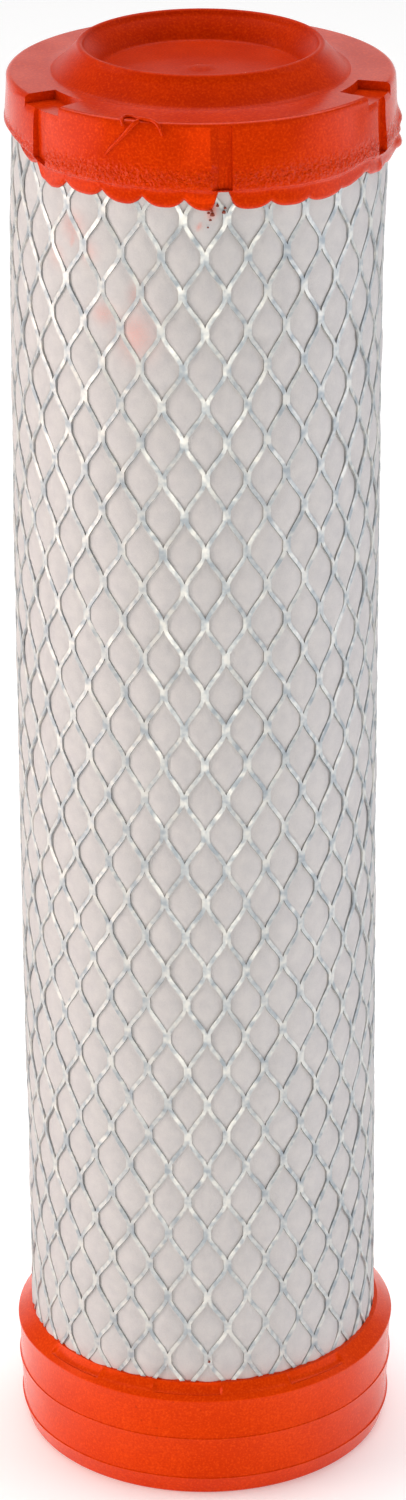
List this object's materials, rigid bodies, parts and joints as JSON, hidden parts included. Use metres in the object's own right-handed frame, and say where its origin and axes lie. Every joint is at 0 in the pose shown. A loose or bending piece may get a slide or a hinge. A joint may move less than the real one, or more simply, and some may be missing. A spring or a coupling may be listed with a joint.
{
  "type": "cylindrical air filter element",
  "caption": "Cylindrical air-filter safety element: expanded-metal liner over felt, cast orange end caps, one closed with a dish, one open with a sealing bore.",
  "frame": {"origin": "middle of the open end's flat face, on the element's axis", "axes": "+Z along the element's axis, from the open end to the closed end; -Y is the front"},
  "size_m": [0.0982, 0.0982, 0.371],
  "materials": {
    "cast_polyurethane": "satin moulded skin, orange-red",
    "galvanised_steel": "bright galvanised, unpainted",
    "needled_felt": "matt white needled felt",
    "hot_melt_glue": "waxy, translucent cream"
  },
  "bodies": {
    "root": {"open_end_cap": "cast_polyurethane", "closed_end_cap": "cast_polyurethane", "closing_disc": "galvanised_steel", "outer_liner": "galvanised_steel", "inner_liner": "galvanised_steel", "outer_felt_ply": "needled_felt", "inner_felt_ply": "needled_felt", "outer_felt_seam": "hot_melt_glue", "inner_felt_seam": "hot_melt_glue"}
  },
  "joints": []
}
